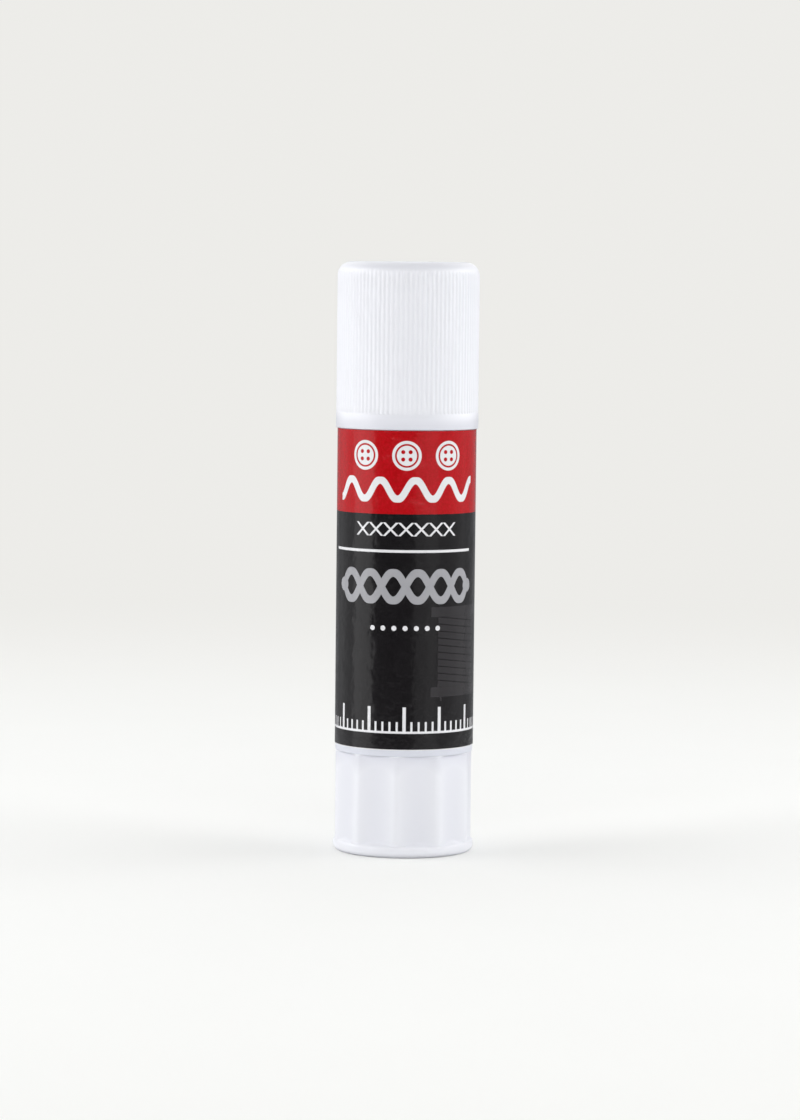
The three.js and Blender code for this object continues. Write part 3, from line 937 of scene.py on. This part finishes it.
def make_floor():
    deselect()
    bpy.ops.mesh.primitive_circle_add(
        vertices=FLOOR_COLUMNS, radius=FLOOR_RADIUS, fill_type="NGON"
    )
    floor = bpy.context.object
    floor.name = "floor"
    finish = Finish("floor_paper", Roughness=0.9, Specular_IOR_Level=0.1)
    rays = finish.node("ShaderNodeLightPath")
    glossy = Number(finish, rays.outputs["Is Glossy Ray"])
    seen = Number(finish, rays.outputs["Is Camera Ray"])
    near = glossy * (GLOSS_NEAR - FLOOR_NEAR) + seen * (SEEN_NEAR - FLOOR_NEAR) + FLOOR_NEAR
    far = glossy * (GLOSS_FAR - FLOOR_FAR) + seen * (SEEN_FAR - FLOOR_FAR) + FLOOR_FAR
    settings = {"interpolation_type": "SMOOTHSTEP"}
    inputs = {"Value": finish.reach() * MM, "From Min": near, "From Max": far}
    faded = finish.node("ShaderNodeMapRange", settings, inputs).outputs[0]
    paper = finish.mix(finish.noise(PAPER_SPOTS, detail=3), PAPER_DARK, PAPER_LIGHT)
    finish.colour(finish.mix(seen, FLOOR_BOUNCE, paper))
    glow = finish.node("ShaderNodeEmission", {}, {"Color": BACKDROP, "Strength": 1})
    clear = finish.node("ShaderNodeBsdfTransparent")
    inputs = {0: seen, 1: clear.outputs[0], 2: glow.outputs[0]}
    beyond = finish.node("ShaderNodeMixShader", {}, inputs)
    inputs = {0: faded, 1: finish.shader.outputs[0], 2: beyond.outputs[0]}
    whole = finish.node("ShaderNodeMixShader", {}, inputs)
    finish.plug(finish.tree.nodes["Material Output"].inputs["Surface"], whole.outputs[0])
    floor.data.materials.append(finish.material)


# Soft lights aimed at the stick's middle: name, azimuth from the front towards +X, elevation,
# distance, width, height and radiance
SOFT_PANELS = (
    ("left_softbox", -75, 0, 0.6, 0.43, 0.8, 0.93),
    ("left_rear_softbox", -115, 0, 0.6, 0.43, 0.8, 0.18),
    ("left_key", -91, 27, 0.7, 0.93, 0.3, 3.2),
    ("front_right_softbox", 45, 0, 0.6, 0.21, 0.8, 0.48),
    ("right_softbox", 85, 0, 0.6, 0.69, 0.8, 0.19),
    ("right_key", 91, 27, 0.7, 0.93, 0.3, 3.5),
    ("right_fill", 25, 0, 0.7, 0.25, 0.5, 0.33),
    ("front_softbox", 0, 20, 0.8, 1.2, 0.36, 2.2),
    ("back_left_softbox", -155, 32, 0.9, 0.7, 0.7, 1.0),
    ("back_right_softbox", 155, 32, 0.9, 0.7, 0.7, 1.0),
)


def soft_panel(name, azimuth, elevation, distance, width, height, radiance):
    data = bpy.data.lights.new(name, "AREA")
    data.shape = "RECTANGLE"
    data.size = width
    data.size_y = height
    data.energy = radiance * pi * width * height
    panel = bpy.data.objects.new(name, data)
    bpy.context.collection.objects.link(panel)
    turn, lift = radians(azimuth), radians(elevation)
    away = Vector((sin(turn) * cos(lift), -cos(turn) * cos(lift), sin(lift)))
    panel.location = Vector((0, 0, cap_top / 2)) + away * distance
    panel.rotation_euler = (-away).to_track_quat("-Z", "Y").to_euler()
    panel.visible_camera = False


def make_world():
    """A dim sky that brightens towards the back, with the plain backdrop for the camera."""
    world = bpy.data.worlds.new("studio")
    bpy.context.scene.world = world
    world.use_nodes = True
    studio = Nodes(world.node_tree)
    background = studio.tree.nodes["Background"]
    studio.plug(background.inputs["Color"], BACKDROP)
    place = studio.node("ShaderNodeTexCoord").outputs["Generated"]
    apart = studio.node("ShaderNodeSeparateXYZ", {}, {0: place})
    inputs = {
        "Value": apart.outputs["Y"],
        "From Min": SKY_FRONT,
        "From Max": SKY_BACK,
        "To Min": SKY_FRONT_STRENGTH,
        "To Max": SKY_BACK_STRENGTH,
    }
    strength = studio.node("ShaderNodeMapRange", {}, inputs).outputs[0]
    sky = studio.node("ShaderNodeBackground", {}, {"Color": SKY, "Strength": strength})
    rays = studio.node("ShaderNodeLightPath")
    inputs = {0: rays.outputs["Is Camera Ray"], 1: sky.outputs[0], 2: background.outputs[0]}
    whole = studio.node("ShaderNodeMixShader", {}, inputs)
    studio.plug(studio.tree.nodes["World Output"].inputs["Surface"], whole.outputs[0])


CAMERA_DISTANCE = 0.5543
CAMERA_HEIGHT = 0.0819
CAMERA_SIDE = -0.00082
CAMERA_PITCH = 4.14
CAMERA_ROLL = 0.604
CAMERA_LENS = 124.4
CAMERA_NEAREST = 0.01
CAMERA_FARTHEST = 20


def make_camera():
    data = bpy.data.cameras.new("camera")
    data.lens = CAMERA_LENS
    data.clip_start = CAMERA_NEAREST
    data.clip_end = CAMERA_FARTHEST
    camera = bpy.data.objects.new("camera", data)
    bpy.context.collection.objects.link(camera)
    tilt = Euler((radians(90 - CAMERA_PITCH), 0, 0)).to_matrix()
    roll = Matrix.Rotation(radians(CAMERA_ROLL), 3, "Z")
    camera.rotation_euler = (tilt @ roll).to_euler()
    camera.location = (CAMERA_SIDE, -CAMERA_DISTANCE, CAMERA_HEIGHT)
    bpy.context.scene.camera = camera


bpy.context.scene.view_settings.view_transform = "Standard"
make_camera()
make_world()
make_floor()
for panel in SOFT_PANELS:
    soft_panel(*panel)

cap_plastic = moulded_plastic(
    "cap_polypropylene",
    light=colour(245, 246, 250),
    shade=colour(242, 243, 248),
    roughness=0.33,
    painted_shade=painted_shade_on_cap,
)
knob_plastic = moulded_plastic(
    "knob_polypropylene",
    light=colour(239, 240, 245),
    shade=colour(236, 237, 242),
    roughness=0.4,
    painted_shade=painted_shade_on_knob,
)
# A darker copy of the white plastic: painted shade for the bare ring of barrel between label and
# knob
shaded_barrel_plastic = moulded_plastic(
    "barrel_polypropylene_painted_shade",
    light=colour(225, 227, 236),
    shade=colour(222, 225, 234),
    roughness=0.35,
)
inner_plastic = moulded_plastic(
    "inner_polypropylene",
    light=colour(232, 233, 236),
    shade=colour(226, 227, 231),
    roughness=0.42,
)

make_cap(cap_plastic)
make_barrel(shaded_barrel_plastic)
make_label(label_film())
make_knob(knob_plastic)
make_glue(waxy_glue())
for node in ("lead_screw", "carrier"):
    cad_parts[node].data.materials.clear()
    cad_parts[node].data.materials.append(inner_plastic)
